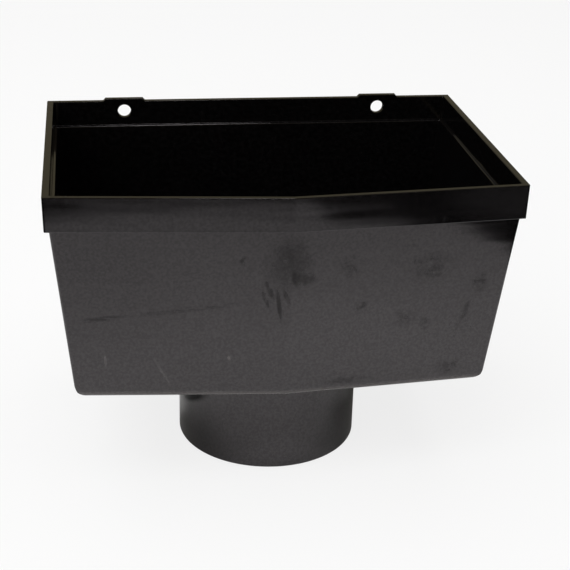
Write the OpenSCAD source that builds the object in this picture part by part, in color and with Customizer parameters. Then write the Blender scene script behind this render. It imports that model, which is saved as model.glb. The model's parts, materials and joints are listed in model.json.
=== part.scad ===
// Downpipe hopper head, moulded in one piece.
// The open box collects rainwater and drops it through the round outlet into a downpipe.
// Millimetres. The origin is the centre of the outlet's lower end, +Z is up,
// +Y points to the wall that the hopper is screwed to, and the front faces -Y.

/* [Rim band] */
// Outside width of the band at the rim
band_w = 162; // [130:1:220]
// Depth of the band at the rim, from its back face to its front corners
band_d = 109.4; // [95:0.1:150]
// How far the ridge at the middle of the front stands ahead of the front corners
ridge_rise = 6.7; // [1:0.1:15]
// Height of the band outside, from the rim down to the joggle
band_h = 12.1; // [11:0.1:20]
// How much the front and the sides of the band draw in from the rim to the joggle
band_draft = 0.2; // [0:0.1:1]
// How far the body steps in under the band
joggle = 1.6; // [0.8:0.1:2.5]
// Radius outside on the band's lower edge
joggle_r = 0.3; // [0.1:0.1:1.2]
// Height of the step between the joggle's underside and the ledge inside
step_h = 2.6; // [1.5:0.1:4]
// Width of the ledge inside
ledge_w = 1.2; // [0.6:0.1:1.6]
// How much the ledge falls towards the inside, so that it drains
ledge_fall = 0.3; // [0:0.1:0.8]
// Radius inside where the band turns into the ledge
ledge_r = 0.2; // [0.1:0.1:1]

/* [Body] */
// Height from the rim down to the underside of the base
body_h = 77; // [60:0.1:110]
// Thickness of the body's walls
wall = 2; // [1.5:0.1:3]
// Thickness of the base
base_t = 2; // [1.5:0.1:4]
// How much each side draws in between the joggle and the base
side_taper = 6.3; // [1:0.1:12]
// How much the front draws in between the joggle and the base
front_taper = 6.5; // [1:0.1:12]
// How much the back draws in between the joggle and the base
back_taper = 2; // [0.5:0.1:6]
// Radius outside where the sides turn into the base
side_edge_r = 5.5; // [1:0.5:8]
// Radius outside where the front and the back turn into the base
front_edge_r = 2; // [1:0.5:6]

/* [Outlet] */
// Outside diameter of the outlet, the size of the downpipe
outlet_d = 68; // [50:0.5:80]
// Thickness of the outlet's wall
outlet_wall = 2; // [1.5:0.1:4]
// Length of the outlet below the base
outlet_len = 38; // [20:0.1:60]
// Distance of the outlet's axis from the wall that the hopper is screwed to
outlet_off_wall = 60; // [48:0.5:66]

/* [Fixing ears] */
// Distance between the two screw holes
hole_pitch = 102; // [60:0.5:130]
// Diameter of each screw hole
hole_d = 5.2; // [3.5:0.1:6]
// Depth of the screw holes' centres below the rim
hole_drop = 4; // [3.4:0.1:5]
// Width of each ear at the rim
ear_w = 16.4; // [12:0.1:24]
// Height of each ear above the rim
ear_rise = 1; // [0.5:0.1:4]
// Length of the ramp at each end of an ear
ear_ramp = 0.9; // [0.1:0.1:3]

/* [Hidden] */
$fn = 96;

// Heights of the base's underside, the rim, the joggle's underside and the ledge
base_z = outlet_len;
rim_z = base_z + body_h;
joggle_z = rim_z - band_h;
ledge_z = joggle_z + step_h;

// Thickness of the band's wall, which the ledge leaves between the joggle and the body's wall
band_wall = joggle + wall - ledge_w;

// How far each front panel is turned from square by the ridge between them
front_turn = atan(ridge_rise / (band_w / 2));

// Distances of the panels' rim lines from the outlet's axis, each measured square to its panel
side_at = band_w / 2;
back_at = outlet_off_wall;
front_at = (band_d + ridge_rise - outlet_off_wall) * cos(front_turn);

// The five panels: way it faces, distance of its rim line, draft of its band, taper below, base edge radius
PANELS = [
    [0, side_at, band_draft, side_taper, side_edge_r],
    [180, side_at, band_draft, side_taper, side_edge_r],
    [90, back_at, 0, back_taper, front_edge_r],
    [-90 + front_turn, front_at, band_draft, front_taper, front_edge_r],
    [-90 - front_turn, front_at, band_draft, front_taper, front_edge_r],
];

// Smallest radius left inside an edge whose outside radius is no larger than the wall
least_inner_r = 0.5;
// Largest share of a step's width that the radius of its corner may take
step_share = 0.8;
// Flat steps in one rounded edge
edge_steps = 8;
// Reach of the cutting shapes past the solid that they cut
over = 1;
// Length and depth that take each panel's section past all of its neighbours
reach = band_w + band_d + ridge_rise;

// How far a panel's rim line has drawn in at height z, on the band and on the body
function band_in(z, draft) = draft * (rim_z - z) / band_h;
function body_in(z, draft, taper) = draft + joggle + taper * (joggle_z - z) / (joggle_z - base_z);

// Round stretch where a leaning wall turns into a level one, for a corner that is sharp at the given point
function round_turn(corner, r, lean) =
    let (centre = corner + r * [-tan(45 - lean / 2), 1])
    [for (k = [0:edge_steps])
        let (turn = lean + (90 - lean) * k / edge_steps)
        centre + r * [cos(turn), -sin(turn)]];

// Section of one panel, as the region behind it: distance out from the axis against height.
// insets move the lines of its band and its body inwards, heights are those of its top, the outer and
// the inner end of its step and its floor, and radii are those of its step and its base edge.
function panel_section(p, insets, heights, radii) =
    let (band_lean = atan(p[2] / band_h),
         body_lean = atan(p[3] / (joggle_z - base_z)),
         band_line = p[1] - insets[0],
         body_line = p[1] - insets[1],
         top = heights[0],
         step = heights[1],
         lip = heights[2],
         floor = heights[3],
         step_out = band_line - band_in(step, p[2]),
         step_in = body_line - body_in(lip, p[2], p[3]),
         step_r = min(radii[0], step_share * (step_out - step_in)))
    concat(
        [[-reach, top], [band_line - band_in(top, p[2]), top]],
        round_turn([step_out, step], step_r, band_lean),
        [[step_in, lip]],
        round_turn([body_line - body_in(floor, p[2], p[3]), floor], radii[1], body_lean),
        [[-reach, floor]]);

// Solid that fills everything behind a panel
module behind_panel(p, insets, heights, radii)
    rotate([0, 0, p[0]])
        rotate([90, 0, 0])
            linear_extrude(2 * reach, center = true)
                polygon(panel_section(p, insets, heights, radii));

// Outside of the box: where the spaces behind all five panels meet
module box_outside()
    intersection_for (p = PANELS)
        behind_panel(p, [0, 0], [rim_z, joggle_z, joggle_z, base_z], [joggle_r, p[4]]);

// Inside of the box, a band wall and a body wall in from the outside, with the ledge above the joggle
module box_inside()
    intersection_for (p = PANELS)
        behind_panel(p, [band_wall, wall], [rim_z + over, ledge_z, ledge_z - ledge_fall, base_z + base_t],
                     [ledge_r, max(p[4] - wall, least_inner_r)]);

// Ear that stands on the back of the rim above a screw hole, centred on x = 0
module ear()
    translate([0, back_at, rim_z])
        rotate([90, 0, 0])
            linear_extrude(band_wall)
                polygon([[-ear_w / 2, -hole_drop], [ear_w / 2, -hole_drop], [ear_w / 2, 0],
                         [ear_w / 2 - ear_ramp, ear_rise], [-ear_w / 2 + ear_ramp, ear_rise], [-ear_w / 2, 0]]);

// Cutter for one screw hole through the back of the band, centred on x = 0
module screw_hole()
    translate([0, back_at + over, rim_z - hole_drop])
        rotate([90, 0, 0])
            cylinder(d = hole_d, h = band_wall + 2 * over);

module hopper_head()
    color("#2b292b")
        difference() {
            union() {
                difference() {
                    box_outside();
                    box_inside();
                }
                cylinder(d = outlet_d, h = base_z + base_t);
                for (side = [-1, 1])
                    translate([side * hole_pitch / 2, 0, 0])
                        ear();
            }
            translate([0, 0, -over])
                cylinder(d = outlet_d - 2 * outlet_wall, h = base_z + base_t + 2 * over);
            for (side = [-1, 1])
                translate([side * hole_pitch / 2, 0, 0])
                    screw_hole();
        }

hopper_head();
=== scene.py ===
# %% [markdown]
# # A downpipe hopper head
# A hopper head is the open box at the top of a downpipe. Rainwater drops in over the rim and leaves
# through the round outlet below. This one is a single black plastic moulding, screwed to a wall through
# two ears at the back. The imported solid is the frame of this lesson: it fixes every size and place. We
# could dress the solid's own mesh, but that is made of loose triangles with sharp edges. So we model the
# same shell again with clean, rounded edges, give it a finish, and light it.

# %% Load the frame
import json
import math

import bmesh
import bpy
from mathutils import Matrix, Vector


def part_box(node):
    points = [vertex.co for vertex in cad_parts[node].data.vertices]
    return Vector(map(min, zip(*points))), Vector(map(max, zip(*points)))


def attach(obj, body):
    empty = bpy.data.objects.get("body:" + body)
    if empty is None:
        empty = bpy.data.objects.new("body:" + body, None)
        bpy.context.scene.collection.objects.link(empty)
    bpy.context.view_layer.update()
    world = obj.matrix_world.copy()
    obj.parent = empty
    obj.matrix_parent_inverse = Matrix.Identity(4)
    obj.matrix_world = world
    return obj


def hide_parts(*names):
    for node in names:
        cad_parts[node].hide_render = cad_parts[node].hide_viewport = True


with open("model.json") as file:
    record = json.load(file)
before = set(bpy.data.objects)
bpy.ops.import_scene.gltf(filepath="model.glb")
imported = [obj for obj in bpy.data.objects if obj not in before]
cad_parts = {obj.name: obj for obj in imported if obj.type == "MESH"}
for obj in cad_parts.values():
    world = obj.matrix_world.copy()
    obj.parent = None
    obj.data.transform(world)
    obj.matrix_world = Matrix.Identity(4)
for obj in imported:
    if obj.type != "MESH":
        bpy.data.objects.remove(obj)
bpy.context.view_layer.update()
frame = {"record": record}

# %% [markdown]
# ## Sizes
# The shell has few driving sizes. They could all be typed in, but then a change of the solid would be
# missed. So the outside box and the mounts come from the frame. What the frame doesn't name, such as the
# taper of the walls, is written here in millimetres and turned into metres once.

# %% Sizes from the frame and from the moulding
MM = 0.001

mounts = {mount["name"]: mount for mount in frame["record"]["mounts"]}
lowest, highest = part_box("hopper_head")

half_w = highest.x
wall_y = highest.y
ridge_y = lowest.y
outlet_r = mounts["outlet_spigot"]["dims"]["r_mm"] * MM
base_z = mounts["outlet_spigot"]["dims"]["length_mm"] * MM
wall_t = outlet_r - mounts["outlet_bore"]["dims"]["r_mm"] * MM
hole_z = mounts["wall_screws"]["pos_m"][2]
hole_r = mounts["wall_screws"]["dims"]["hole_r_mm"] * MM
hole_x = mounts["wall_screws"]["dims"]["spacing_x_mm"] * MM / 2

ear_rise = 1.0 * MM
ear_w = 16.4 * MM
ear_ramp = 0.9 * MM
ridge_rise = 6.7 * MM
band_h = 12.1 * MM
band_draft = 0.2 * MM
joggle = 1.6 * MM
step_h = 2.6 * MM
ledge_w = 1.2 * MM
ledge_fall = 0.3 * MM
side_taper = 6.3 * MM
front_taper = 6.5 * MM
back_taper = 2.0 * MM

rim_z = highest.z - ear_rise
joggle_z = rim_z - band_h
ledge_z = joggle_z + step_h
corner_y = ridge_y + ridge_rise
band_wall = joggle + wall_t - ledge_w
front_turn = math.atan(ridge_rise / half_w)
print(f"wall {wall_t / MM:.1f} mm, band {band_wall / MM:.1f} mm, rim at {rim_z / MM:.1f} mm")
print(f"front panels turned {math.degrees(front_turn):.2f} degrees")

# %% [markdown]
# ## Selecting in code
# By hand we click on what we want to move. In code there is nothing to click on, and the numbers of verts
# and faces change with every cut. So everything is selected by its place or its normal, and one helper
# picks the verts, edges or faces that pass a test.

# %% Picking by a test
# Places that are closer together than this count as one
NEAR = 0.05 * MM
# Share of a normal along an axis from which a face counts as facing that way
FACING = 0.9


def pick(kind, test):
    """Selects, in edit mode, the items of one kind (VERT, EDGE or FACE) that pass a test."""
    bpy.ops.mesh.select_mode(type=kind)
    bpy.ops.mesh.select_all(action="DESELECT")
    mesh = bpy.context.edit_object.data
    cage = bmesh.from_edit_mesh(mesh)
    items = {"VERT": cage.verts, "EDGE": cage.edges, "FACE": cage.faces}[kind]
    chosen = [item for item in items if test(item)]
    for item in chosen:
        item.select_set(True)
    cage.select_flush_mode()
    bmesh.update_edit_mesh(mesh)
    return len(chosen)


print(f"places within {NEAR / MM:.2f} mm count as one")

# %% [markdown]
# ## The skin
# Think of the moulding as a skin with a nearly constant thickness. It could be a solid block that is
# hollowed out, but then the inside would have to be shaped a second time. So we model only the outside
# skin, as a sheet, and give it its wall later. A cube becomes the rim band: it is cut in two down the
# middle, the middle of its front is pulled forward, which makes the shallow V, and its top is taken off.

# %% The rim band
bpy.ops.object.select_all(action="DESELECT")
bpy.ops.mesh.primitive_cube_add(size=1, location=(0, (wall_y + corner_y) / 2, rim_z - band_h / 2))
hopper = bpy.context.active_object
hopper.name = "hopper"
hopper.data.name = "hopper"
hopper.scale = (2 * half_w, wall_y - corner_y, band_h)
bpy.ops.object.transform_apply(location=True, rotation=True, scale=True)

bpy.ops.object.mode_set(mode="EDIT")
bpy.ops.mesh.select_all(action="SELECT")
bpy.ops.mesh.bisect(plane_co=(0, 0, 0), plane_no=(1, 0, 0))
pick("VERT", lambda v: abs(v.co.x) < NEAR and v.co.y < 0)
bpy.ops.transform.translate(value=(0, -ridge_rise, 0))
pick("FACE", lambda f: f.normal.z > FACING)
bpy.ops.mesh.delete(type="FACE")
print(f"band: {2 * half_w / MM:.1f} mm wide, its ridge {ridge_rise / MM:.1f} mm ahead of the corners")

# %% [markdown]
# ## Draft, joggle and taper
# A moulded part leaves its tool only if its walls lean a little, and here the walls lean a lot below the
# band. Scaling the lower loop would be quick, but it leans each wall by a share of its distance, and not
# by a known amount. So one helper draws a loop of verts inwards: the sides, the back and the two turned
# front panels each by its own amount, measured square to the panel. The band's lower loop draws in by its
# draft. An inset then makes the joggle, the step under the band, and an extrude pulls the body down to
# the base, which is drawn in as well.

# %% The body below the band
def draw_in(in_loop, side, front, back):
    """Moves the verts of a loop inwards, by amounts square to its panels."""
    forward = front / math.cos(front_turn)
    count = pick("VERT", lambda v: in_loop(v) and abs(v.co.x) < NEAR and v.co.y < 0)
    bpy.ops.transform.translate(value=(0, forward, 0))
    count += pick("VERT", lambda v: in_loop(v) and abs(v.co.x) > NEAR and v.co.y < 0)
    bpy.ops.transform.translate(value=(0, forward - side * math.tan(front_turn), 0))
    count += pick("VERT", lambda v: in_loop(v) and v.co.y > 0)
    bpy.ops.transform.translate(value=(0, -back, 0))
    for way in (-1, 1):
        pick("VERT", lambda v: in_loop(v) and v.co.x * way > NEAR)
        bpy.ops.transform.translate(value=(-way * side, 0, 0))
    return count


def at_height(z):
    """Test for the verts that lie at one height."""
    return lambda v: abs(v.co.z - z) < NEAR


draw_in(at_height(joggle_z), band_draft, band_draft, 0)
pick("FACE", lambda f: f.normal.z < -FACING)
bpy.ops.mesh.inset(thickness=joggle, use_even_offset=True)
bpy.ops.mesh.extrude_region_move(TRANSFORM_OT_translate={"value": (0, 0, base_z - joggle_z)})
draw_in(at_height(base_z), side_taper, front_taper, back_taper)
pick("FACE", lambda f: abs(f.calc_center_median().z - base_z) < NEAR)
bpy.ops.mesh.delete(type="FACE")
print(f"body drawn down to {base_z / MM:.1f} mm")

# %% [markdown]
# ## The outlet
# The outlet is a plain tube that grows out of the flat base. It could be a cylinder that is joined on by
# a Boolean, but a sheet has no inside for that to work on. So a circle is laid in the plane of the base,
# the flat area between it and the base's outline is filled, and the circle is pulled down. The circle has
# enough points to look round when it fills the picture.

# %% The outlet tube
OUTLET_SIDES = 128
# Verts that are closer together than this are merged
MERGED = 0.1 * NEAR

bpy.ops.mesh.primitive_circle_add(vertices=OUTLET_SIDES, radius=outlet_r, location=(0, 0, base_z))
in_base = at_height(base_z)
pick("EDGE", lambda e: all(in_base(v) for v in e.verts))
bpy.ops.mesh.fill(use_beauty=True)
pick("EDGE", lambda e: all(in_base(v) and v.co.xy.length < outlet_r + NEAR for v in e.verts))
bpy.ops.mesh.extrude_edges_move(TRANSFORM_OT_translate={"value": (0, 0, -base_z)})
bpy.ops.mesh.select_all(action="SELECT")
bpy.ops.mesh.remove_doubles(threshold=MERGED)
bpy.ops.mesh.normals_make_consistent(inside=False)
bpy.ops.object.mode_set(mode="OBJECT")
print("skin:", len(hopper.data.polygons), "faces")

# %% [markdown]
# ## The wall
# The walls have nearly the same thickness everywhere, so a Solidify modifier can turn the sheet into a
# wall. It grows inwards: the outside stays at its size, and the joggle becomes the ledge inside by itself.
# Extruding every panel by hand would leave the corners to be mended one by one. Then four details are put
# right: the rim is levelled, because the band leans by its draft, the ledge is raised, because the step
# is thicker than the walls, the inside of the band is drawn in, because the band is a stout rim with a
# narrow ledge below it, and the lip of the ledge is lowered a little, so that water runs off it.

# %% The wall
def apply_modifier(name, kind, **settings):
    """Adds a modifier to the active object, sets it and applies it."""
    piece = bpy.context.active_object
    modifier = piece.modifiers.new(name, kind)
    for key, value in settings.items():
        setattr(modifier, key, value)
    bpy.ops.object.modifier_apply(modifier=modifier.name)


apply_modifier("wall", "SOLIDIFY", thickness=wall_t, offset=-1, solidify_mode="NON_MANIFOLD",
               nonmanifold_thickness_mode="CONSTRAINTS")
bpy.ops.object.mode_set(mode="EDIT")
pick("VERT", lambda v: v.co.z > rim_z - wall_t / 2)
bpy.ops.transform.resize(value=(1, 1, 0), center_override=(0, 0, rim_z))
pick("VERT", lambda v: joggle_z + NEAR < v.co.z < rim_z - wall_t / 2)
bpy.ops.transform.translate(value=(0, 0, step_h - wall_t))
heights = {round(v.co.z / MM, 1) for v in bmesh.from_edit_mesh(hopper.data).verts}
print("heights in the shell, mm:", sorted(heights))

# %% The band's thickness and the ledge's fall
def within(co, margin):
    """True for a place that lies further than the margin inside the rim's outer box."""
    return abs(co.x) < half_w - margin and ridge_y + margin < co.y < wall_y - margin


def inside_band(v):
    """True for the verts on the inner face of the band, at the rim and at the back of the ledge."""
    return v.co.z > joggle_z + NEAR and within(v.co, wall_t / 2) and not within(v.co, wall_t + joggle / 2)


thicker = band_wall - wall_t
moved = draw_in(inside_band, thicker, thicker, thicker)
on_ledge = at_height(ledge_z)
lip = pick("VERT", lambda v: on_ledge(v) and within(v.co, band_wall + ledge_w / 2))
bpy.ops.transform.translate(value=(0, 0, -ledge_fall))
print("band made thicker at", moved, "verts, lip lowered at", lip)

# %% [markdown]
# ## The fixing ears
# At the back the rim rises a little over each screw hole. The ears could be small blocks of their own,
# but on the moulding there is no seam between ear and rim. So they are pulled out of the rim: its flat
# top is cut across at the ends of the ears, the pieces between the cuts are pulled up, and their upper
# corners are pushed in to make the short ramps.

# %% The ears
ear_ends = [(way * hole_x + end * ear_w / 2, end) for way in (-1, 1) for end in (-1, 1)]


def on_back_rim(face):
    """True for the flat top of the rim along the wall."""
    at = face.calc_center_median()
    return face.normal.z > FACING and abs(at.z - rim_z) < NEAR and at.y > wall_y - band_wall


for end_x, end in ear_ends:
    pick("FACE", on_back_rim)
    bpy.ops.mesh.bisect(plane_co=(end_x, 0, 0), plane_no=(1, 0, 0))
pick("FACE", lambda f: on_back_rim(f) and abs(abs(f.calc_center_median().x) - hole_x) < ear_w / 2)
bpy.ops.mesh.extrude_region_move(TRANSFORM_OT_translate={"value": (0, 0, ear_rise)})
for end_x, end in ear_ends:
    pick("VERT", lambda v: v.co.z > rim_z + NEAR and abs(v.co.x - end_x) < NEAR)
    bpy.ops.transform.translate(value=(-end * ear_ramp, 0, 0))
bpy.ops.object.mode_set(mode="OBJECT")
print("ears: top at", round(max(v.co.z for v in hopper.data.vertices) / MM, 2), "mm")

# %% [markdown]
# ## The screw holes
# Each ear has one round hole for a wall screw. A ring of faces could be inset and pushed through, but a
# Boolean modifier drills as a drill does. The edges that are left lying in flat faces are dissolved
# first, so that ear and band are one face. A face can't have a hole in its middle, so the back is cut
# straight through both hole centres, and the drill then takes half a round bite out of each side of the
# cut.

# %% The holes
HOLE_SIDES = 48
# Largest turn between two faces that count as one flat face
FLAT = math.radians(0.5)

drill_depth = 3 * wall_t


def on_band_back(face):
    """True for the upright faces of the band along the wall, outside and inside."""
    at = face.calc_center_median()
    return abs(face.normal.y) > FACING and at.y > wall_y - band_wall - NEAR and at.z > ledge_z


bpy.ops.object.mode_set(mode="EDIT")
bpy.ops.mesh.select_all(action="SELECT")
bpy.ops.mesh.dissolve_limited(angle_limit=FLAT)
for way in (-1, 1):
    pick("FACE", on_band_back)
    bpy.ops.mesh.bisect(plane_co=(way * hole_x, 0, 0), plane_no=(1, 0, 0))
bpy.ops.object.mode_set(mode="OBJECT")
for way in (-1, 1):
    bpy.ops.object.select_all(action="DESELECT")
    bpy.ops.mesh.primitive_cylinder_add(vertices=HOLE_SIDES, radius=hole_r, depth=drill_depth,
                                        location=(way * hole_x, wall_y - wall_t / 2, hole_z),
                                        rotation=(math.pi / 2, 0, 0))
    drill = bpy.context.active_object
    bpy.context.view_layer.objects.active = hopper
    apply_modifier("hole", "BOOLEAN", operation="DIFFERENCE", solver="EXACT", object=drill)
    bpy.data.objects.remove(drill)
bpy.ops.object.select_all(action="DESELECT")
hopper.select_set(True)
print("shell:", len(hopper.data.polygons), "faces before its edges are rounded")

# %% [markdown]
# ## Rounded edges
# Nothing moulded has knife edges. The sides turn into the base in a generous curve, the front in a
# tighter one, and the rim is only just broken. The edges could be bevelled one radius after the other,
# but then the corners where different radii meet would tangle. So one Bevel modifier does them all: each
# edge gets a weight worked out from the radius that it should have and the angle it turns through.

# %% Radius of each edge
SIDE_BASE_R = 5.5 * MM
FRONT_BASE_R = 2.0 * MM
INNER_SIDE_BASE_R = 3.5 * MM
INNER_FRONT_BASE_R = 0.6 * MM
OUTLET_ROOT_R = 0.8 * MM
OUTLET_END_R = 0.8 * MM
RIM_R = 0.25 * MM
INNER_RIM_R = 0.6 * MM
JOGGLE_R = 0.3 * MM
STEP_R = 0.3 * MM
LEDGE_R = 0.15 * MM
LIP_R = 0.5 * MM
HOLE_R = 0.15 * MM
CORNER_R = 0.9 * MM
RIDGE_R = 8.0 * MM


def edge_radius(edge):
    """Radius that an edge of the shell is rounded to."""
    a, b = (v.co for v in edge.verts)
    z = (a.z + b.z) / 2
    level = abs(a.z - b.z) < NEAR
    along_side = level and abs(a.x - b.x) < NEAR
    if max(a.xy.length, b.xy.length) < outlet_r + NEAR:
        return OUTLET_END_R if z < wall_t else OUTLET_ROOT_R
    if level and abs(z - base_z) < NEAR:
        return SIDE_BASE_R if along_side else FRONT_BASE_R
    if level and abs(z - base_z - wall_t) < NEAR:
        return INNER_SIDE_BASE_R if along_side else INNER_FRONT_BASE_R
    if abs(z - hole_z) < hole_r + NEAR and abs(abs(a.x) - hole_x) < hole_r + NEAR:
        return HOLE_R
    if z > rim_z - NEAR:
        inner_front = level and within(a, band_wall / 2) and max(a.y, b.y) < 0
        return INNER_RIM_R if inner_front else RIM_R
    if level and z < joggle_z + NEAR:
        return STEP_R if within(a, joggle / 2) else JOGGLE_R
    if level:
        return LIP_R if within(a, band_wall + ledge_w / 2) else LEDGE_R
    return RIDGE_R if abs(a.x) < NEAR else CORNER_R


print(f"edge radii from {LEDGE_R / MM:.2f} to {RIDGE_R / MM:.1f} mm")

# %% Bevel weights by radius
BEVEL_STEPS = 5
# Edges that turn less than this stay as they are
LEAST_TURN = math.radians(4)


def bevel_reach(edge):
    """How far the rounding runs out from an edge over its two faces."""
    turn = edge.calc_face_angle(0)
    return edge_radius(edge) * math.tan(turn / 2) if turn > LEAST_TURN else 0


shell = bmesh.new()
shell.from_mesh(hopper.data)
weights = shell.edges.layers.float.new("bevel_weight_edge")
reaches = {edge: bevel_reach(edge) for edge in shell.edges}
widest = max(reaches.values())
for edge, reach in reaches.items():
    edge[weights] = reach / widest
shell.to_mesh(hopper.data)
shell.free()
apply_modifier("rounded_edges", "BEVEL", width=widest, offset_type="OFFSET", limit_method="WEIGHT",
               segments=BEVEL_STEPS, use_clamp_overlap=False, loop_slide=False)
print(f"widest bevel {widest / MM:.2f} mm, shell now {len(hopper.data.polygons)} faces")

# %% [markdown]
# ## Smooth shading
# The real panels are flat and their edges round. Flat shading would show every facet of the edges, and
# smooth shading alone would bend the light right across the panels. So the shell is shaded smooth, and a
# Weighted Normal modifier makes the large flat panels keep their own normal: only the rounded edges bend
# the light.

# %% Shading
# How far the largest faces rule the normals that they share, in percent
PANEL_WEIGHT = 100

bpy.ops.object.shade_smooth()
apply_modifier("panel_normals", "WEIGHTED_NORMAL", mode="FACE_AREA", weight=PANEL_WEIGHT)
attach(hopper, "root")
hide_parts("hopper_head")
triangles = sum(len(face.vertices) - 2 for face in hopper.data.polygons)
print("hopper:", triangles, "triangles")

# %% [markdown]
# ## Building a finish from nodes
# A finish is a tree of nodes. Painted pictures would be another way, but a picture has a fixed size and
# has to be laid onto the piece, while a pattern of nodes is sharp at any distance and reads Object
# coordinates, in metres. A few helpers keep the trees readable. The first three add a node, map a range
# and do one step of arithmetic. The others make a noise with a grain of a real size, the same noise with
# its contrast set, a soft spot at a place, and bumps of a real depth.

# %% Helpers for node trees
def add_node(tree, kind, links=(), inputs=(), **settings):
    """Adds a node, sets its properties and inputs, and links (socket, source) pairs to its inputs."""
    node = tree.nodes.new(kind)
    for name, value in settings.items():
        setattr(node, name, value)
    for name, value in dict(inputs).items():
        node.inputs[name].default_value = value
    for name, source in links:
        tree.links.new(source, node.inputs[name])
    return node


def ranged(tree, value, low, high, to_low=0.0, to_high=1.0):
    """Maps value from low..high to to_low..to_high, with soft ends."""
    node = add_node(tree, "ShaderNodeMapRange", [("Value", value)],
                    {"From Min": low, "From Max": high, "To Min": to_low, "To Max": to_high},
                    interpolation_type="SMOOTHSTEP")
    return node.outputs["Result"]


def combine(tree, operation, a, b):
    """One step of arithmetic on two values, each a socket or a number."""
    node = add_node(tree, "ShaderNodeMath", operation=operation)
    for socket, value in zip(node.inputs, (a, b)):
        if isinstance(value, (int, float)):
            socket.default_value = value
        else:
            tree.links.new(value, socket)
    return node.outputs[0]


print("helpers for nodes: add_node, ranged, combine")

# %% Noise, spots and bumps
# Share of a soft spot's half size inside which it is full
SPOT_CORE = 0.35


def noise(tree, place, grain, detail, shift=(0, 0, 0)):
    """Noise from 0 to 1, with a grain in metres along X, Y and Z, moved as a whole by a shift in metres."""
    spread = add_node(tree, "ShaderNodeMapping", [("Vector", place)], {"Scale": grain, "Location": shift},
                      vector_type="TEXTURE")
    texture = add_node(tree, "ShaderNodeTexNoise", [("Vector", spread.outputs[0])],
                       {"Scale": 1, "Detail": detail})
    return texture.outputs["Fac"]


def pattern(tree, place, look, to_low=0.0, to_high=1.0):
    """Noise with its contrast set by a look: grain, detail and the noise values that become the ends."""
    grain, detail, low, high = look
    return ranged(tree, noise(tree, place, grain, detail), low, high, to_low, to_high)


def patch(tree, place, centre, size, turn=(0, 0, 0)):
    """Soft spot: 1 at its centre, 0 outside an ellipsoid with the given half sizes in metres."""
    local = add_node(tree, "ShaderNodeMapping", [("Vector", place)],
                     {"Location": centre, "Scale": size, "Rotation": turn}, vector_type="TEXTURE")
    away = add_node(tree, "ShaderNodeVectorMath", [(0, local.outputs[0])], operation="LENGTH")
    return ranged(tree, away.outputs["Value"], 1.0, SPOT_CORE)


def bump(tree, height, depth, under=None):
    """Bumps of the given depth in metres, laid over another bump if one is given."""
    node = add_node(tree, "ShaderNodeBump", [("Height", height)], {"Strength": 1, "Distance": depth})
    if under:
        tree.links.new(under, node.inputs["Normal"])
    return node.outputs["Normal"]


print("helpers for patterns: noise, pattern, patch, bump")

# %% [markdown]
# ## Marks on the plastic
# A hopper that was handled has marks, and each has its own cause. A thumb rubbed the ridge near the top
# and left slanting strokes, something slid along the left panel and left a level scratch, and the right
# panel was knocked in a few places. Small scuffs are spread all over. A mark is a dull place: it scatters
# the mirrored floor, and so looks darker. On the outlet, just under the edge of the base, painted shade
# lowers the gloss almost to nothing. Three fine scratches are pale, and a pale highlight is painted into
# the colour of the lower front edge. Noise alone would put marks anywhere. So each one is a soft spot
# with a place and a size of its own, and noise only breaks it up.

# %% Places of the marks
# Marks on the front: x, z, half width and half height in millimetres, tilt in degrees, strength
RUBS = [
    (-0.5, 91.0, 11.0, 13.0, 0, 0.6),
    (-1.4, 91.8, 4.8, 10.0, -4, 0.75),
    (1.9, 85.2, 3.2, 4.6, -15, 1.0),
    (5.6, 84.6, 3.8, 4.0, 0, 0.8),
]
STROKES = [
    (-7.0, 80.7, 1.3, 5.5, -21, 0.8),
    (-8.3, 77.2, 1.1, 5.0, -19, 0.8),
    (-3.7, 75.0, 1.1, 8.5, -8, 0.9),
    (-1.2, 78.0, 1.2, 4.5, -22, 0.75),
]
SCRATCHES = [
    (-63.0, 69.7, 13.0, 1.4, -6.4, 0.85),
    (-38.0, 72.8, 34.0, 1.5, -7.2, 0.42),
]
KNOCKS = [
    (20.7, 88.3, 5.5, 6.5, 0, 0.55),
    (49.2, 86.0, 11.0, 8.0, 0, 0.5),
    (67.5, 78.6, 4.5, 6.0, 0, 0.6),
    (63.3, 67.5, 1.6, 7.0, 14, 0.6),
    (25.0, 72.9, 4.0, 2.4, -30, 0.7),
    (41.0, 66.3, 7.0, 4.5, 0, 0.5),
    (48.6, 63.2, 2.6, 3.8, 0, 0.9),
    (59.4, 44.6, 7.0, 5.0, 0, 0.75),
    (21.3, 42.6, 12.0, 2.4, 0, 0.75),
    (-15.6, 91.6, 2.4, 2.4, 0, 1.0),
]
PALE_SCRATCHES = [
    (-43.1, 48.4, 0.8, 11.0, -27.6, 0.28),
    (-62.4, 53.0, 0.8, 5.5, -2, 0.4),
    (-20.1, 53.9, 1.0, 1.5, 0, 0.6),
]
# How far a mark reaches back from the ridge, past the whole front
MARK_DEPTH = 30 * MM


def front_marks(tree, place, marks):
    """Soft marks on the front, one beside the other."""
    together = 0.0
    for x, z, wide, high, tilt, strength in marks:
        spot = patch(tree, place, (x * MM, ridge_y, z * MM), (wide * MM, MARK_DEPTH, high * MM),
                     (0, math.radians(tilt), 0))
        together = combine(tree, "MAXIMUM", together, combine(tree, "MULTIPLY", spot, strength))
    return together


print("dull marks on the front:", len(RUBS + STROKES + SCRATCHES + KNOCKS))
print("pale scratches:", len(PALE_SCRATCHES))

# %% Masks of the marks
# Noises that break up the marks: grain in metres along X, Y and Z, detail, noise values that become the ends
BLOTCHES = ((0.004, 0.004, 0.006), 5, 0.2, 0.56)
SMEARS = ((0.003, 0.003, 0.01), 3, 0.3, 0.5)
BREAKS = ((0.008, 0.008, 0.0012), 3, 0.35, 0.55)
FLECKS = ((0.0026, 0.0026, 0.0032), 4, 0.3, 0.64)
SCUFF_AREAS = ((0.018, 0.018, 0.022), 2, 0.55, 0.72)
SCUFF_FLECKS = ((0.0024, 0.0024, 0.004), 4, 0.5, 0.7)
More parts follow.
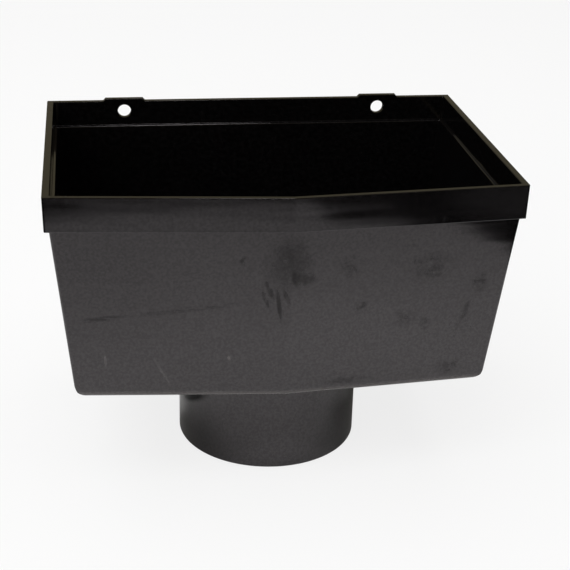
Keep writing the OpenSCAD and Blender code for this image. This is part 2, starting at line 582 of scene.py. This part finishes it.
# The painted highlight on the lower front edge: heights over the base and places along Y where it
# begins and where it is full
EDGE_TOP, EDGE_FULL = 3.0 * MM, 0.2 * MM
EDGE_BACK, EDGE_FRONT = -34 * MM, -38 * MM
# Painted shade on the outlet, just under the edge of the base
UNDER_BASE_SHADE_PLACE, UNDER_BASE_SHADE_SIZE = (-0.0302, -0.0147, 0.0213), (0.0098, 0.0150, 0.0029)
UNDER_BASE_SHADE_TURN = (math.radians(-29), 0, 0)


def dull_marks(tree, place):
    """All rubs, strokes, scratches and knocks: 1 where the plastic is dullest."""
    marks = 0.0
    for group, look in ((RUBS, BLOTCHES), (STROKES, SMEARS), (SCRATCHES, BREAKS), (KNOCKS, FLECKS)):
        broken = combine(tree, "MULTIPLY", front_marks(tree, place, group), pattern(tree, place, look))
        marks = combine(tree, "MAXIMUM", marks, broken)
    return marks


def scuffs(tree, place):
    """Sparse small scuffs all over."""
    return combine(tree, "MULTIPLY", pattern(tree, place, SCUFF_AREAS), pattern(tree, place, SCUFF_FLECKS))


def edge_highlight(tree, place):
    """1 on the lower front edge of the body, where a pale highlight is painted into the colour."""
    axes = add_node(tree, "ShaderNodeSeparateXYZ", [(0, place)]).outputs
    low = ranged(tree, axes["Z"], base_z + EDGE_TOP, base_z + EDGE_FULL)
    return combine(tree, "MULTIPLY", low, ranged(tree, axes["Y"], EDGE_BACK, EDGE_FRONT))


def under_base_shade(tree, place):
    """1 in the middle of the painted shade on the outlet, just under the edge of the base."""
    return patch(tree, place, UNDER_BASE_SHADE_PLACE, UNDER_BASE_SHADE_SIZE, UNDER_BASE_SHADE_TURN)


print("masks: dull_marks, scuffs, edge_highlight, grime")

# %% [markdown]
# ## Black plastic
# The plastic is almost black, and nearly all that we see of it is its gloss. A grey base colour would
# give it the right tone from one side only, and look like chalk from the others. So the colour stays very
# dark, with a trace of dust, and the finish is in the gloss: it is finely speckled, as the skin of a
# moulding is, bent by a shallow waviness that runs along the panels, and dulled by the marks.

# %% Colour and roughness
PLASTIC_BLACK = (0.0016, 0.0014, 0.0015, 1)
PLASTIC_DUST = (0.0048, 0.0043, 0.0045, 1)
# Pale colour of fine scratches, also painted onto the lower front edge as a highlight
PLASTIC_SCRATCH_AND_HIGHLIGHT = (0.085, 0.080, 0.078, 1)
# Roughness of the best skin, of clouded skin, of scuffs and of marks
GLOSSY, CLOUDED, SCUFFED, RUBBED = 0.09, 0.13, 0.32, 0.52
# Noises in the skin: grain in metres along X, Y and Z, detail, noise values that become the ends
DUST = ((0.0016, 0.0016, 0.0016), 4, 0.35, 0.75)
CLOUDS = ((0.02, 0.02, 0.02), 5, 0.35, 0.7)
# The Mix node's sockets for two colours and for the colour between them
MIX_A, MIX_B, MIX_RESULT = 6, 7, 2


def plastic_colour(tree, place):
    """Near black with a trace of dust, pale in fine scratches and a painted highlight on the lower edge."""
    dusty = add_node(tree, "ShaderNodeMix", [("Factor", pattern(tree, place, DUST))],
                     {MIX_A: PLASTIC_BLACK, MIX_B: PLASTIC_DUST}, data_type="RGBA").outputs[MIX_RESULT]
    # Fine scratches, and the lower front edge where a highlight is painted
    scratches_and_highlight = combine(tree, "MAXIMUM", edge_highlight(tree, place), front_marks(tree, place, PALE_SCRATCHES))
    colour = add_node(tree, "ShaderNodeMix", [("Factor", scratches_and_highlight), (MIX_A, dusty)],
                      {MIX_B: PLASTIC_SCRATCH_AND_HIGHLIGHT}, data_type="RGBA")
    return colour.outputs[MIX_RESULT]


def plastic_roughness(tree, place, dull):
    """Clouded gloss, rougher in scuffs and roughest in the dull marks."""
    clouds = pattern(tree, place, CLOUDS, GLOSSY, CLOUDED)
    rubbed = combine(tree, "MULTIPLY", dull, RUBBED - CLOUDED)
    scuffed = combine(tree, "MULTIPLY", scuffs(tree, place), SCUFFED - CLOUDED)
    return combine(tree, "ADD", clouds, combine(tree, "MAXIMUM", rubbed, scuffed))


print("roughness from", GLOSSY, "to", RUBBED)

# %% Gloss and bumps
# Strength of the gloss: look and ends of its fine speckle, shares that marks and painted shade take away
SPECKLE = ((0.0009, 0.0009, 0.0009), 2, 0.3, 0.7)
SPECKLE_LOW, SPECKLE_HIGH = 0.44, 0.56
DULL_SHARE, UNDER_BASE_SHADE_SHARE = 0.4, 0.92
# Sinks in the panels, ripples along them and the skin's grain: grain, detail, shift and depth in metres
BUMPS = [
    ((0.045, 0.045, 0.03), 1, (0, 0, 0), 0.08 * MM),
    ((0.05, 0.05, 0.006), 1, (0, 0, 0.003), 0.06 * MM),
    ((0.0007, 0.0007, 0.0007), 2, (0, 0, 0), 0.001 * MM),
]


def plastic_gloss(tree, place, dull):
    """Finely speckled strength of the gloss, lower in the dull marks and lowest in the painted shade."""
    gloss = pattern(tree, place, SPECKLE, SPECKLE_LOW, SPECKLE_HIGH)
    # The second mask is painted shade under the base, where the gloss drops almost to nothing
    for mask, share in ((dull, DULL_SHARE), (under_base_shade(tree, place), UNDER_BASE_SHADE_SHARE)):
        kept = combine(tree, "SUBTRACT", 1.0, combine(tree, "MULTIPLY", mask, share))
        gloss = combine(tree, "MULTIPLY", gloss, kept)
    return gloss


def plastic_bumps(tree, place):
    """Bumps from the broad to the fine, each laid over the last."""
    normal = None
    for grain, detail, shift, depth in BUMPS:
        normal = bump(tree, noise(tree, place, grain, detail, shift), depth, normal)
    return normal


print("bump depths, mm:", [round(depth / MM, 3) for grain, detail, shift, depth in BUMPS])

# %% The finish
PLASTIC_IOR = 1.75
PLASTIC_TINT = (1.0, 0.94, 0.97, 1)


def black_plastic():
    """Semi-gloss black moulded plastic with waviness, grain and dull marks."""
    material = bpy.data.materials.new("black_plastic")
    material.use_nodes = True
    tree = material.node_tree
    shader = tree.nodes["Principled BSDF"]
    shader.inputs["IOR"].default_value = PLASTIC_IOR
    shader.inputs["Specular Tint"].default_value = PLASTIC_TINT
    place = add_node(tree, "ShaderNodeTexCoord").outputs["Object"]
    dull = dull_marks(tree, place)
    tree.links.new(plastic_colour(tree, place), shader.inputs["Base Color"])
    tree.links.new(plastic_roughness(tree, place, dull), shader.inputs["Roughness"])
    tree.links.new(plastic_gloss(tree, place, dull), shader.inputs["Specular IOR Level"])
    tree.links.new(plastic_bumps(tree, place), shader.inputs["Normal"])
    return material


hopper.data.materials.clear()
hopper.data.materials.append(black_plastic())
print("finish:", [material.name for material in hopper.data.materials])

# %% [markdown]
# ## The camera
# The camera stands a little to the left and looks down into the hopper with a long lens. It could be set
# by eye, but then the sides would never quite line up. So its place and turn were worked out from the
# picture's own perspective.

# %% Camera
CAMERA_PLACE = (-0.0647, -0.4506, 0.2640)
# Lens and sensor in millimetres, turns in degrees, nearest distance that is seen in metres
CAMERA_LENS, CAMERA_SENSOR = 83.40, 36
CAMERA_DOWN, CAMERA_ROLL, CAMERA_YAW = 24.19, 1.62, -8.94
CAMERA_NEAREST = 0.01

camera = bpy.data.objects.new("camera", bpy.data.cameras.new("camera"))
bpy.context.scene.collection.objects.link(camera)
turn = Matrix.Rotation(math.radians(CAMERA_YAW), 4, "Z")
turn = turn @ Matrix.Rotation(math.radians(90 - CAMERA_DOWN), 4, "X")
turn = turn @ Matrix.Rotation(math.radians(CAMERA_ROLL), 4, "Z")
camera.matrix_world = Matrix.Translation(CAMERA_PLACE) @ turn
camera.data.lens = CAMERA_LENS
camera.data.sensor_width = CAMERA_SENSOR
camera.data.clip_start = CAMERA_NEAREST
bpy.context.scene.camera = camera
print("camera at", CAMERA_PLACE)

# %% [markdown]
# ## The floor
# Glossy black shows its surroundings, so the surroundings are part of the finish. The white floor in
# front lights the front panels by reflection. Lamps strong enough to make it look white would flood the
# object. So a part of its white is a glow that lights nothing: the lens sees much of it, and the floor
# stays pale and still keeps the shadow, and gloss sees a little of it.

# %% Floor
# Half of the floor's width in metres
FLOOR_HALF = 6.0
FLOOR_PAINT = (0.9, 0.9, 0.9, 1)
# Share of its white that glows, for the lens and for gloss
SEEN_GLOW, MIRRORED_GLOW = 0.82, 0.03


def bare_material(name):
    """New material with an empty node tree."""
    material = bpy.data.materials.new(name)
    material.use_nodes = True
    material.node_tree.nodes.clear()
    return material


def floor_white():
    """White paint that also glows, much for camera rays and a little for glossy and transmission rays."""
    material = bare_material("floor_white")
    tree = material.node_tree
    path = add_node(tree, "ShaderNodeLightPath").outputs
    seen = combine(tree, "MULTIPLY", path["Is Camera Ray"], SEEN_GLOW)
    mirrored = combine(tree, "MAXIMUM", path["Is Glossy Ray"], path["Is Transmission Ray"])
    share = combine(tree, "MAXIMUM", seen, combine(tree, "MULTIPLY", mirrored, MIRRORED_GLOW))
    paint = add_node(tree, "ShaderNodeBsdfDiffuse", inputs={"Color": FLOOR_PAINT})
    glow = add_node(tree, "ShaderNodeEmission")
    both = add_node(tree, "ShaderNodeMixShader",
                    [("Fac", share), (1, paint.outputs[0]), (2, glow.outputs[0])])
    add_node(tree, "ShaderNodeOutputMaterial", [("Surface", both.outputs[0])])
    return material


bpy.ops.object.select_all(action="DESELECT")
bpy.ops.mesh.primitive_plane_add(size=2 * FLOOR_HALF)
floor = bpy.context.active_object
floor.name = "floor"
floor.data.materials.append(floor_white())
print("floor:", 2 * FLOOR_HALF, "m square")

# %% [markdown]
# ## The black card
# The upright band mirrors the floor further away, and there it has to find something dark, or the band
# would look as grey as the body. A darker plastic on the band would be wrong, since it is one moulding.
# So we do as a photographer does, and lay black card on the floor outside the picture. The card is a
# frame round the object with an opening in the middle, and only reflections see it. It darkens slowly
# towards the front, and near the object it has painted shade on the left and painted light on the right,
# which change the mirrored floor there. Each of its edges is a soft line. In two places a pair of edges
# makes an inner corner, where it is dark only past both of them. On the right the card has a thin place,
# which lets a little of the floor through.

# %% How clear the card is
# Places along Y between which the card darkens towards the front, and the share that it takes away
FADE_START, FADE_END, FADE_SHARE = -0.06, -0.26, 0.42
# Painted shade on the left and painted light on the right of the mirrored floor near the object:
# place, half sizes in metres, share by which the card is clearer there
PAINTED_SHADE_AND_LIGHT = [
    ((-0.092, -0.152, 0), (0.062, 0.065, 0.050), -0.08),
    ((0.045, -0.110, 0), (0.080, 0.060, 0.050), 0.06),
]
# Edges: a place on the edge, the direction that points out to the dark in degrees, softness in metres
FRONT_EDGE = ((0.0, -0.3275, 0), -90, 0.0425)
FRONT_LEFT_EDGE = ((-0.110, -0.310, 0), -123, 0.010)
LEFT_EDGE = ((-0.250, 0.0, 0), 180, 0.050)
BACK_EDGE = ((0.0, 0.300, 0), 90, 0.060)
FRONT_RIGHT_CORNER = (((0.101, 0.0, 0), 0, 0.006), ((0.115, -0.282, 0), -76.5, 0.005))
RIGHT_CORNER = (((0.137, -0.240, 0), 0, 0.008), ((0.145, -0.180, 0), -29, 0.006))
# The thin place: its middle, half sizes in metres, how clear it is
THIN_PLACE, THIN_SIZE, THIN_SHARE = (0.225, -0.290, 0), (0.070, 0.050, 0.050), 0.11


def past_edge(tree, place, edge):
    """0 inside one edge of the card, 1 outside, with a soft line between them."""
    centre, heading, soft = edge
    turned = add_node(tree, "ShaderNodeMapping", [("Vector", place)],
                      {"Location": centre, "Rotation": (0, 0, math.radians(heading))}, vector_type="TEXTURE")
    out = add_node(tree, "ShaderNodeSeparateXYZ", [(0, turned.outputs[0])]).outputs["X"]
    return ranged(tree, out, -soft, soft)


def card_clearness(tree, place):
    """1 where the floor shows through the card, 0 where the card is black."""
    front = add_node(tree, "ShaderNodeSeparateXYZ", [(0, place)]).outputs["Y"]
    clear = ranged(tree, front, FADE_START, FADE_END, 1, 1 - FADE_SHARE)
    # Painted shade and light in the mirrored floor near the object
    for centre, size, share in PAINTED_SHADE_AND_LIGHT:
        spot = combine(tree, "MULTIPLY", patch(tree, place, centre, size), share)
        clear = combine(tree, "ADD", clear, spot)
    dark = [past_edge(tree, place, edge) for edge in (FRONT_EDGE, FRONT_LEFT_EDGE, LEFT_EDGE, BACK_EDGE)]
    for first, second in (FRONT_RIGHT_CORNER, RIGHT_CORNER):
        dark.append(combine(tree, "MINIMUM", past_edge(tree, place, first), past_edge(tree, place, second)))
    for share in dark:
        clear = combine(tree, "MULTIPLY", clear, combine(tree, "SUBTRACT", 1.0, share))
    thin = combine(tree, "MULTIPLY", patch(tree, place, THIN_PLACE, THIN_SIZE), THIN_SHARE)
    return combine(tree, "MAXIMUM", clear, thin)


print("the card darkens by", FADE_SHARE, "towards the front")

# %% Black card
# Half of the card's width, half of its opening's width, and its height over the floor, in metres
CARD_HALF, CARD_OPENING = 2.0, 0.08
CARD_LIFT = 0.5 * MM
CARD_PAINT = (0.003, 0.003, 0.003, 1)


def card_black():
    """Black card that is clear near the object and black further out."""
    material = bare_material("card_black")
    tree = material.node_tree
    clear = card_clearness(tree, add_node(tree, "ShaderNodeTexCoord").outputs["Object"])
    black = add_node(tree, "ShaderNodeBsdfDiffuse", inputs={"Color": CARD_PAINT})
    glass = add_node(tree, "ShaderNodeBsdfTransparent")
    both = add_node(tree, "ShaderNodeMixShader",
                    [("Fac", clear), (1, black.outputs[0]), (2, glass.outputs[0])])
    add_node(tree, "ShaderNodeOutputMaterial", [("Surface", both.outputs[0])])
    return material


def show_to_gloss_alone(card):
    """Hides a card of the stage from everything but reflections."""
    card.visible_camera = False
    card.visible_diffuse = False
    card.visible_shadow = False


bpy.ops.object.select_all(action="DESELECT")
bpy.ops.mesh.primitive_plane_add(size=2 * CARD_HALF, location=(0, 0, CARD_LIFT))
card = bpy.context.active_object
card.name = "black_card"
bpy.ops.object.mode_set(mode="EDIT")
bpy.ops.mesh.select_all(action="SELECT")
bpy.ops.mesh.inset(thickness=CARD_HALF - CARD_OPENING)
pick("FACE", lambda f: f.calc_center_median().length < CARD_OPENING)
bpy.ops.mesh.delete(type="FACE")
bpy.ops.object.mode_set(mode="OBJECT")
card.data.materials.append(card_black())
show_to_gloss_alone(card)
print("black card:", len(card.data.polygons), "faces round an opening of", 2 * CARD_OPENING, "m")

# %% [markdown]
# ## White cards
# The left side of the outlet is seen at a flat angle, so it mirrors the floor behind it, under the base,
# where little light gets in. The outlet's lower end mirrors the floor right at its foot, which is in
# shadow too. A lamp down there would light the base as well. So scraps of white card are slipped in, as a
# photographer does. Each is a soft pale spot that only reflections see: its glow is added to the floor's
# own light. One gives the outlet its pale edge, the other keeps its front even.

# %% Scraps of white card
# Place of each card's middle, half of its width in metres, strength of its glow
WHITE_CARDS = {
    "white_card_side": ((-0.046, 0.024, CARD_LIFT), 0.024, 0.24),
    "white_card_front": ((0.002, -0.032, CARD_LIFT), 0.030, 0.13),
}


def card_white(name, half, strength):
    """Clear sheet with one soft glowing spot in its middle."""
    material = bare_material(name)
    tree = material.node_tree
    place = add_node(tree, "ShaderNodeTexCoord").outputs["Object"]
    spot = patch(tree, place, (0, 0, 0), (half, half, half))
    glow = add_node(tree, "ShaderNodeEmission", [("Strength", combine(tree, "MULTIPLY", spot, strength))])
    glass = add_node(tree, "ShaderNodeBsdfTransparent")
    both = add_node(tree, "ShaderNodeAddShader", [(0, glow.outputs[0]), (1, glass.outputs[0])])
    add_node(tree, "ShaderNodeOutputMaterial", [("Surface", both.outputs[0])])
    return material


for name, (place, half, strength) in WHITE_CARDS.items():
    bpy.ops.object.select_all(action="DESELECT")
    bpy.ops.mesh.primitive_plane_add(size=2 * half, location=place)
    scrap = bpy.context.active_object
    scrap.name = name
    scrap.data.materials.append(card_white(name, half, strength))
    show_to_gloss_alone(scrap)
print("white cards:", len(WHITE_CARDS))

# %% [markdown]
# ## Light
# The light is soft: a dim sky all round that is warm at the horizon, a large softbox overhead, and one in
# front on the left. Hard lamps would draw a sharp shadow. Gloss doesn't see the softboxes, or every
# rounded edge would shine. A small lamp that only gloss sees puts the one long glint on the ledge.

# %% Sky
# Height of the view's direction, from 0 at the horizon to 1 overhead, and the sky's colour there
SKY_STEPS = [
    (0.0, (0.19, 0.17, 0.11)),
    (0.36, (0.19, 0.17, 0.11)),
    (0.43, (0.05, 0.05, 0.05)),
    (1.0, (0.05, 0.05, 0.05)),
]


def studio_sky():
    """World that is warm and pale at the horizon and dimmer overhead."""
    world = bpy.data.worlds.new("studio_sky")
    world.use_nodes = True
    tree = world.node_tree
    way = add_node(tree, "ShaderNodeTexCoord").outputs["Generated"]
    height = add_node(tree, "ShaderNodeSeparateXYZ", [(0, way)]).outputs["Z"]
    ramp = add_node(tree, "ShaderNodeValToRGB", [("Fac", height)])
    for position, colour in SKY_STEPS[1:-1]:
        ramp.color_ramp.elements.new(position)
    for element, (position, colour) in zip(ramp.color_ramp.elements, SKY_STEPS):
        element.position = position
        element.color = (*colour, 1)
    tree.links.new(ramp.outputs["Color"], tree.nodes["Background"].inputs["Color"])
    return world


bpy.context.scene.world = studio_sky()
print("sky:", len(SKY_STEPS), "steps")

# %% Lamps
# Place, side of the square in metres, watts
SOFTBOXES = {
    "softbox_top": ((-0.2, 0.0, 1.6), 2.0, 26),
    "softbox_front": ((-0.9, -1.2, 1.25), 1.6, 16),
}
GLINT = ((0.05, -0.1, 1.4), 0.2, 0.9)


def square_lamp(name, place, size, watts):
    """Square area lamp that looks at the object."""
    lamp = bpy.data.objects.new(name, bpy.data.lights.new(name, "AREA"))
    bpy.context.scene.collection.objects.link(lamp)
    lamp.location = place
    lamp.rotation_euler = (Vector(place) - Vector((0, 0, base_z))).to_track_quat("Z", "Y").to_euler()
    lamp.data.size = size
    lamp.data.energy = watts
    return lamp


for name, (place, size, watts) in SOFTBOXES.items():
    square_lamp(name, place, size, watts).visible_glossy = False
square_lamp("glint", *GLINT).visible_diffuse = False
bpy.context.scene.view_settings.view_transform = "Standard"
